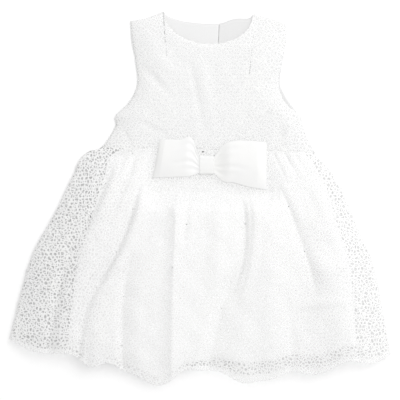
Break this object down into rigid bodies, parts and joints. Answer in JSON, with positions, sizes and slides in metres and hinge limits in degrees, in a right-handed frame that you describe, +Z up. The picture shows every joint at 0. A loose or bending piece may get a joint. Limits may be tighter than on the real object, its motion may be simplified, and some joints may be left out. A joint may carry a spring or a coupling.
{
  "type": "flower girl dress, laid flat",
  "caption": "Sleeveless child's lace dress laid flat on its back, with a gathered flared skirt, wavy hem, skirt lining and a satin bow at the waist.",
  "frame": {"origin": "middle of the dress's plan, on the surface that it lies on", "axes": "+Z up from the surface out of the front of the dress, +Y towards the neck, +X towards the viewer's right of the front"},
  "size_m": [0.5316, 0.5217, 0.027],
  "materials": {
    "lace": "matt white corded lace on fine net",
    "lining": "smooth white lining, soft sheen",
    "satin": "smooth white satin"
  },
  "bodies": {
    "root": {"front_bodice": "lace", "back_bodice_left": "lace", "back_bodice_right": "lace", "back_bodice_lining_left": "lining", "back_bodice_lining_right": "lining", "front_skirt": "lace", "back_skirt": "lace", "front_skirt_lining": "lining", "back_skirt_lining": "lining", "bow_left_loop": "satin", "bow_right_loop": "satin", "bow_knot": "satin"}
  },
  "joints": []
}
